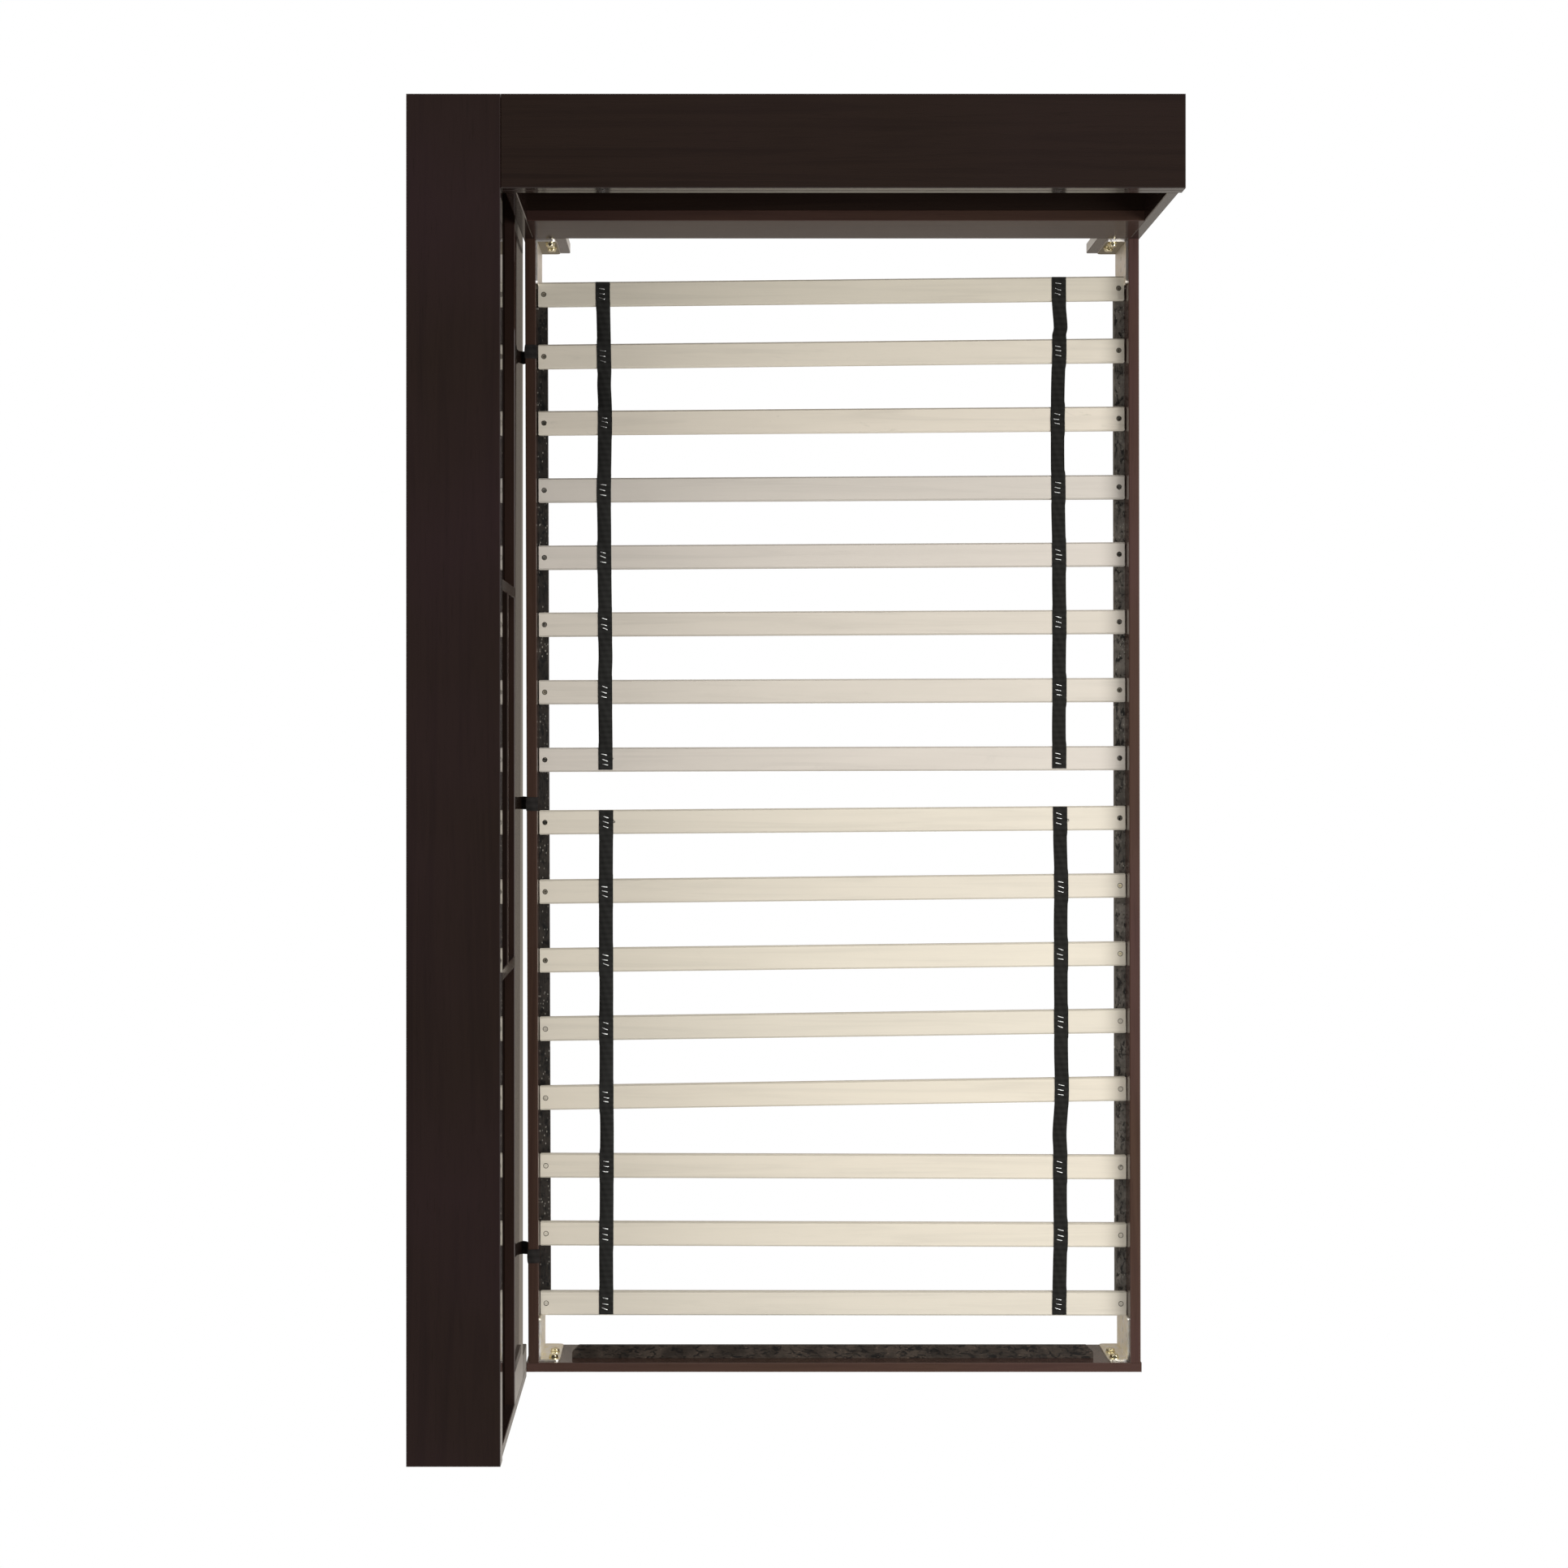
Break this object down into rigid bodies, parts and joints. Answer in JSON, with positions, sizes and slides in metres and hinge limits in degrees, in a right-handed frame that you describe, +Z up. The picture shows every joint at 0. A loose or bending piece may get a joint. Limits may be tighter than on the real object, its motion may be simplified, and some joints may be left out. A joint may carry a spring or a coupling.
{
  "type": "platform bed with corner bookcases",
  "caption": "Low slatted platform bed for a twin mattress, set in an L of open bookcases along one long side and across the head.",
  "frame": {"origin": "bottom centre of the whole set's box, on the floor", "axes": "+Z up, +Y towards the head unit, -X towards the side unit"},
  "size_m": [1.215, 2.14, 0.52],
  "materials": {
    "espresso_wood": "satin espresso lacquer on wood",
    "back_panel": "matt brown hardboard",
    "rough_black_wood": "rough wood, thin black paint",
    "slat_wood": "planed pale wood, unfinished",
    "black_webbing": "woven black webbing",
    "grey_webbing": "woven dark grey webbing",
    "zinc_plate": "yellow zinc plate",
    "screw_steel": "plain bright steel",
    "dowel_beech": "plain beech",
    "felt": "pressed felt"
  },
  "bodies": {
    "root": {"side_top_board": "espresso_wood", "side_case_top": "espresso_wood", "side_end_panel_head": "espresso_wood", "side_end_panel_foot": "espresso_wood", "side_divider_head": "espresso_wood", "side_divider_foot": "espresso_wood", "side_middle_shelf": "espresso_wood", "side_niche_bottom": "espresso_wood", "side_front_panel": "espresso_wood", "side_leg_head": "espresso_wood", "side_leg_foot": "espresso_wood", "head_top_board": "espresso_wood", "head_case_top": "espresso_wood", "head_end_panel_left": "espresso_wood", "head_end_panel_right": "espresso_wood", "head_niche_bottom": "espresso_wood", "head_front_panel": "espresso_wood", "head_leg_left": "espresso_wood", "head_leg_right": "espresso_wood", "rail_left": "espresso_wood", "rail_right": "espresso_wood", "footboard": "espresso_wood", "side_back_panel": "back_panel", "head_back_panel": "back_panel", "ledger_left": "rough_black_wood", "ledger_right": "rough_black_wood", "foot_ledge": "rough_black_wood", "slat_01": "slat_wood", "slat_02": "slat_wood", "slat_03": "slat_wood", "slat_04": "slat_wood", "slat_05": "slat_wood", "slat_06": "slat_wood", "slat_07": "slat_wood", "slat_08": "slat_wood", "slat_09": "slat_wood", "slat_10": "slat_wood", "slat_11": "slat_wood", "slat_12": "slat_wood", "slat_13": "slat_wood", "slat_14": "slat_wood", "slat_15": "slat_wood", "slat_16": "slat_wood", "slat_webbing_head": "black_webbing", "slat_webbing_foot": "black_webbing", "tie_straps": "grey_webbing", "bracket_head_left": "zinc_plate", "bracket_head_right": "zinc_plate", "bracket_foot_left": "zinc_plate", "bracket_foot_right": "zinc_plate", "bracket_bolts": "zinc_plate", "bracket_washers": "zinc_plate", "insert_nuts": "zinc_plate", "webbing_staples": "screw_steel", "slat_screws": "screw_steel", "ledger_screws": "screw_steel", "bracket_screws": "screw_steel", "top_board_screws": "screw_steel", "case_dowels": "dowel_beech", "floor_glides": "felt"}
  },
  "joints": []
}
